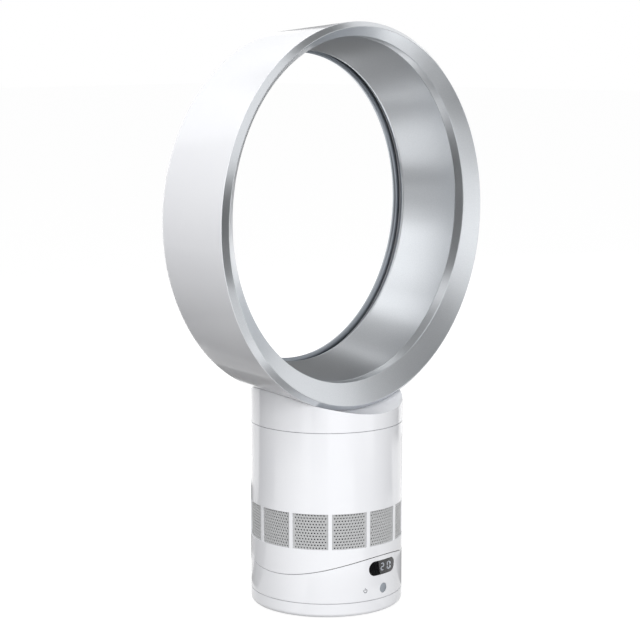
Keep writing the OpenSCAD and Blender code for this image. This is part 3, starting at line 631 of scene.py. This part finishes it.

# Loop
# A hollow ring of a white ABS shell and two rings sprayed silver, the air guide and the flared
# front ring. Air leaves by a slot at the rear; a dark band on its lip is painted shade, for the
# shadow in the slot. The opening lies above the skin's centre, so the ring is thickest at the bottom.

silver_lacquer = sprayed_silver("silver_lacquer", ("#d4d8dc", "#dee1e5"), rough=0.28, metal=0.95)
loop_sides = 360
outer_low, outer_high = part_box("loop_outer_shell")
ring_low, ring_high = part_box("loop_front_ring")
guide_low, guide_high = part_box("loop_inner_shell")
loop_z = (outer_low.z + outer_high.z) / 2
loop_r = outer_high.x
trim_y = outer_low.y
rear_y = outer_high.y
front_y = ring_low.y
lap_y = ring_high.y
step_y = guide_low.y
loop_wall = 2.2 * mm
joint_gap = 0.15 * mm
lap_in = 2.9 * mm
lap_r = loop_r - lap_in
rear_taper = 7.75 * mm
rear_r = loop_r - rear_taper
rear_round = 8.5 * mm
corner_x = rear_r - rear_round
corner_y = rear_y - rear_round
lip_r = guide_high.x - loop_wall
lip_rise = (guide_low.z + guide_high.z) / 2 - loop_z
lip_depth = 10.5 * mm
lip_y = front_y + lip_depth
nose_in = 4.6 * mm
rim_rise = 6 * mm
curl_r = 9 * mm
curl_y = guide_high.y - curl_r
throat_depth = 32.65 * mm
throat_r = loop_r - throat_depth
curl_x = throat_r + curl_r
rim_in = 1.6 * mm
rim_r = throat_r - rim_in
rim_round = 7.5 * mm
rim_x = rim_r + rim_round
rim_y = rear_y - rim_round
slot = 1.3 * mm
slot_start = 115
slot_steps = 5
inner_steps = 10
outer_steps = 12
curl_steps = 14
front_edge = 0.5 * mm
thin_edge = 0.3 * mm


def arc(centre_r, centre_y, radius, start, end, steps, rise=0):
    """Outline points (radius, y, rise) along an arc between two angles in degrees."""
    turns = [math.radians(start + (end - start) * i / steps) for i in range(steps + 1)]
    return [(centre_r + radius * math.cos(t), centre_y + radius * math.sin(t), rise) for t in turns]


def ring_shape(outline):
    """The points and faces of a closed ring through circles of (radius, y, rise)."""
    points, faces = [], []
    for radius, y, rise in outline:
        for k in range(loop_sides):
            turn = 2 * math.pi * k / loop_sides
            points.append((radius * math.cos(turn), y, loop_z + rise + radius * math.sin(turn)))
    for i in range(len(outline)):
        this = i * loop_sides
        after = (i + 1) % len(outline) * loop_sides
        for k in range(loop_sides):
            m = (k + 1) % loop_sides
            faces.append([this + k, this + m, after + m, after + k])
    return points, faces


def round_edges(piece, radius):
    """Rounds a piece's sharp edges and keeps its flat faces flat."""
    bevel = piece.modifiers.new("edge", "BEVEL")
    bevel.width = radius
    bevel.segments = 3
    bevel.limit_method = "ANGLE"
    bevel.angle_limit = math.radians(25)
    piece.modifiers.new("normals", "WEIGHTED_NORMAL").keep_sharp = False


front_ring = make_piece(
    "front_ring",
    *ring_shape([
        (lip_r, lip_y, lip_rise),
        (loop_r - nose_in, front_y, 0),
        (loop_r, trim_y - joint_gap, 0),
        (lap_r, trim_y - joint_gap, 0),
        (lap_r, lap_y, 0),
        (lap_r - loop_wall, lap_y, 0),
        (lap_r - loop_wall, front_y + 2 * loop_wall, 0),
        (lip_r + loop_wall, lip_y + loop_wall / 2, lip_rise),
        (lip_r + loop_wall, step_y - joint_gap, lip_rise),
        (lip_r, step_y - joint_gap, lip_rise),
    ]),
    silver_lacquer, "head", "silver_lacquer",
)
round_edges(front_ring, front_edge)
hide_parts("loop_front_ring")

air_guide = make_piece(
    "air_guide",
    *ring_shape(
        [(lip_r + loop_wall, step_y, lip_rise)]
        + arc(curl_x, curl_y, curl_r - loop_wall, 180, 90, inner_steps, rim_rise)
        + arc(curl_x, curl_y, curl_r, 90, 180, curl_steps, rim_rise)
        + [(lip_r, step_y, lip_rise)]
    ),
    silver_lacquer, "head", "silver_lacquer",
)
round_edges(air_guide, thin_edge)
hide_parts("loop_inner_shell")

outer_skin = make_piece(
    "outer_skin",
    *ring_shape(
        [(loop_r - loop_wall, trim_y, 0), (loop_r, trim_y, 0)]
        + arc(corner_x, corner_y, rear_round, 0, 90, outer_steps)
        + arc(rim_x, rim_y, rim_round, 90, 180, outer_steps, rim_rise)
        + arc(curl_x, curl_y, curl_r + slot, slot_start, 90, slot_steps, rim_rise)
        + [(curl_x, rear_y - loop_wall, rim_rise)]
        + arc(corner_x, corner_y, rear_round - loop_wall, 90, 0, inner_steps)
    ),
    white_gloss, "head", "white_gloss",
)
round_edges(outer_skin, thin_edge)
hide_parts("loop_outer_shell")

# A thin dark band round the rear lip of the slot: painted shade, standing in for the shadow in the air
# slot.
slot_shade_t = 0.3 * mm
slot_shade_in = 5.8 * mm
slot_shade_slope = 0.1
slot_shade_start = 150
slot_shade_steps = 6
make_piece(
    "painted_slot_shade",
    *ring_shape(
        arc(rim_x, rim_y, rim_round + slot_shade_t, slot_shade_start, 180, slot_shade_steps, rim_rise)
        + [
            (rim_r - slot_shade_t, rim_y - slot_shade_t, rim_rise),
            (rim_r + slot_shade_in, rim_y - slot_shade_t - slot_shade_slope * slot_shade_in, rim_rise),
            (rim_r + slot_shade_in, rim_y + slot_shade_t, rim_rise),
        ]
        + arc(rim_x, rim_y, rim_round - slot_shade_t, 180, slot_shade_start, slot_shade_steps, rim_rise)
    ),
    button_lacquer_and_slot_shade, "head", "silver_lacquer",
)
dress(silver_lacquer, "slot_spacers")

# Studio
# A white floor that runs into a white surround, lit by three soft boxes. Cards that only
# reflections see stand where the photograph's gloss and silver show brighter or darker bands.

floor_size = 30


def glowing_ground(name, paper_shade, glow_level):
    """White paper that reads as white to the eye and in reflections, but still takes shadows."""
    material, tree = empty_material(name)
    paper = add(tree, "ShaderNodeBsdfDiffuse", {"Color": linear(paper_shade)})
    glow = add(tree, "ShaderNodeEmission", {"Color": linear("#ffffff"), "Strength": glow_level})
    rays = add(tree, "ShaderNodeLightPath")
    direct = add(
        tree, "ShaderNodeMath",
        links={0: rays.outputs["Is Camera Ray"], 1: rays.outputs["Is Glossy Ray"]}, operation="MAXIMUM",
    )
    lit = add(tree, "ShaderNodeAddShader", links={0: paper.outputs["BSDF"], 1: glow.outputs["Emission"]})
    seen = add(
        tree, "ShaderNodeMixShader",
        links={0: direct.outputs["Value"], 1: paper.outputs["BSDF"], 2: lit.outputs["Shader"]},
    )
    add(tree, "ShaderNodeOutputMaterial", links={"Surface": seen.outputs["Shader"]})
    return material


def stage_piece(name, points, faces, material):
    """A piece of the studio, which isn't part of the fan."""
    mesh = bpy.data.meshes.new(name)
    mesh.from_pydata(points, [], faces)
    mesh.materials.append(material)
    piece = bpy.data.objects.new(name, mesh)
    bpy.context.scene.collection.objects.link(piece)
    return piece


half = floor_size / 2
white_ground = glowing_ground("white_ground", "#7e7e7e", glow_level=0.9)
floor_corners = [(-half, -half, 0), (half, -half, 0), (half, half, 0), (-half, half, 0)]
stage_piece("floor", floor_corners, [(0, 1, 2, 3)], white_ground)

card_steps = 10


def reflected_card(name, start, end, outline, level):
    """A card that only reflections see: a sheet between two azimuths in degrees, swept round
    the fan along (radius, z) points, as bright as its level."""
    material, tree = empty_material(name)
    paint = add(tree, "ShaderNodeEmission", {"Color": linear("#ffffff"), "Strength": level})
    add(tree, "ShaderNodeOutputMaterial", links={"Surface": paint.outputs["Emission"]})
    material.cycles.emission_sampling = "NONE"
    points, faces = [], []
    for i in range(card_steps + 1):
        turn = math.radians(start + (end - start) * i / card_steps)
        points += [(radius * math.sin(turn), -radius * math.cos(turn), z) for radius, z in outline]
    for i in range(card_steps):
        for k in range(len(outline) - 1):
            first = i * len(outline) + k
            faces.append((first, first + len(outline), first + len(outline) + 1, first + 1))
    card = stage_piece(name, points, faces, material)
    card.visible_camera = False
    card.visible_diffuse = False
    card.visible_shadow = False
    card.visible_transmission = False


# Cards on the floor: azimuths from and to, radii from and to, and how bright
floor_lift = 4 * mm
for name, start, end, near, far, level in (
    ("left_floor_far", -166, -128, 0.45, 1.6, 0.05),
    ("left_floor_behind", -170, -140, 0.1, 0.45, 0.3),
    ("skin_floor", -186, -170, 0.2, 0.36, 0.6),
    ("guide_floor", -128, -104, 0.18, 0.62, 1.2),
    ("left_floor_near", -128, -84, 0.75, 1.6, 0.3),
    ("front_floor", -8, 26, 0.36, 0.75, 0.2),
    ("front_floor_far", -16, 10, 0.75, 1.25, 0.5),
    ("display_floor", 4, 26, 0.14, 0.32, 0.02),
    ("foot_floor_left", -70, 4, 0.078, 0.2, 0.3),
    ("foot_floor_right", 64, 120, 0.078, 0.2, 0.3),
    ("right_floor_near", 26, 50, 0.3, 0.5, 0.35),
    ("right_floor", 26, 64, 0.5, 1.3, 0.1),
    ("right_floor_far", 64, 90, 0.8, 1.3, 0.1),
    ("rear_floor", 118, 172, 0.16, 0.5, 0.3),
    ("chamfer_floor", -70, -46, 0.3, 0.62, 0.75),
    ("chamfer_floor_far", -70, -46, 0.7, 1.6, 0.08),
    ("lip_floor", 66, 104, 0.38, 0.78, 1.6),
):
    reflected_card(name, start, end, [(near, floor_lift), (far, floor_lift)], level)

# Cards that stand: azimuths from and to, radius, heights from and to, and how bright
for name, start, end, radius, low, high, level in (
    ("left_wall", -152, -112, 1.6, 0.02, 1.5, 0.12),
    ("guide_wall", -112, -94, 1.6, 0.12, 0.36, 0.6),
    ("guide_sky", -112, -94, 1.6, 0.7, 2.6, 1.9),
    ("nose_wall", -94, -22, 1.6, 0.02, 0.9, 0.08),
    ("front_wall", 5, 36, 1.5, 0.68, 1.25, 0.1),
    ("front_wall_side", 36, 53, 1.5, 0.66, 1.25, 0.35),
    ("front_panel", -14, 4, 1.5, 0.06, 0.62, 1.35),
):
    reflected_card(name, start, end, [(radius, low), (radius, high)], level)

# Cards overhead: azimuths from and to, radii from and to, and how bright
ceiling_z = 1.9
for name, start, end, near, far, level in (
    ("ceiling_right", 10, 100, 0.3, 1.15, 0.12),
    ("ceiling_left", -156, -100, 0.45, 1, 1.5),
    ("ceiling", 136, 200, 0.45, 1.1, 0.4),
):
    reflected_card(name, start, end, [(near, ceiling_z), (far, ceiling_z)], level)

# Bent cards: azimuths from and to, radius from, height of the far end, and how bright
bend_r = 1.6
for name, start, end, near, high, level in (
    ("right_edge", 90, 115, 0.8, 0.9, 1.6),
    ("left_edge", 137, 194, 0.52, 0.9, 1.6),
):
    reflected_card(name, start, end, [(near, floor_lift), (bend_r, floor_lift), (bend_r, high)], level)
reflected_card("rear_wall", 116, 136, [(0.5, floor_lift), (1.5, floor_lift), (1.5, 2.4)], 0.15)
reflected_card("step_wall", 140, 202, [(1.15, ceiling_z), (bend_r, ceiling_z), (bend_r, 1.75)], 0.1)

world = bpy.data.worlds.new("studio")
world.use_nodes = True
bpy.context.scene.world = world
sky = world.node_tree
sky.nodes.clear()
rays = add(sky, "ShaderNodeLightPath")
eye_or_gloss = add(
    sky, "ShaderNodeMath",
    links={0: rays.outputs["Is Camera Ray"], 1: rays.outputs["Is Glossy Ray"]}, operation="MAXIMUM",
)
shown = add(
    sky, "ShaderNodeMath",
    links={0: eye_or_gloss.outputs["Value"], 1: rays.outputs["Is Transmission Ray"]},
    operation="MAXIMUM",
)
# The surround is full white where it is seen, and lights the fan more softly
room_light = 0.42
strength = add(
    sky, "ShaderNodeMapRange", {"To Min": room_light, "To Max": 1}, {"Value": shown.outputs["Value"]}
)
surround = add(
    sky, "ShaderNodeBackground", {"Color": linear("#ffffff")}, {"Strength": strength.outputs["Result"]}
)
add(sky, "ShaderNodeOutputWorld", links={"Surface": surround.outputs["Background"]})


def soft_box(name, azimuth, distance, height, width, tall, aim, radiance):
    """A soft box at an azimuth round the fan, facing a point on its axis. Its power follows
    from its area, so that its face is as bright as asked."""
    lamp = bpy.data.lights.new(name, "AREA")
    lamp.shape = "RECTANGLE"
    lamp.size = width
    lamp.size_y = tall
    lamp.energy = radiance * width * tall * math.pi
    box = bpy.data.objects.new(name, lamp)
    bpy.context.scene.collection.objects.link(box)
    turn = math.radians(azimuth)
    box.location = (distance * math.sin(turn), -distance * math.cos(turn), height)
    to_aim = Vector((0, 0, aim)) - box.location
    box.rotation_euler = to_aim.to_track_quat("-Z", "Y").to_euler()
    box.visible_glossy = False


soft_box(
    "key_box", azimuth=-34, distance=2.4, height=0.85, width=3.4, tall=1.5, aim=0.3, radiance=3.5
)
soft_box(
    "top_box", azimuth=-85, distance=1.1, height=1.9, width=1.3, tall=1.3, aim=0.4, radiance=2.8
)
soft_box(
    "back_box", azimuth=155, distance=2.2, height=1.1, width=3, tall=1.5, aim=0.3, radiance=2.2
)

# Camera
# A long lens at the photograph's viewing angle and distance, nearly level with the top of the
# loop and looking a little down.

camera_azimuth = math.radians(-47.7556)
camera_distance = 1.85482
camera_height = 0.53955
camera_yaw = math.radians(0.1905)
camera_tilt = math.radians(8.2158)
camera = bpy.data.cameras.new("camera")
camera.lens = 111.05
camera.sensor_width = 36
viewpoint = bpy.data.objects.new("camera", camera)
bpy.context.scene.collection.objects.link(viewpoint)
viewpoint.location = (
    camera_distance * math.sin(camera_azimuth),
    -camera_distance * math.cos(camera_azimuth),
    camera_height,
)
heading = camera_azimuth + camera_yaw
ahead = Vector((
    -math.sin(heading) * math.cos(camera_tilt),
    math.cos(heading) * math.cos(camera_tilt),
    -math.sin(camera_tilt),
))
viewpoint.rotation_euler = ahead.to_track_quat("-Z", "Y").to_euler()
bpy.context.scene.camera = viewpoint
bpy.context.scene.view_settings.view_transform = "Standard"
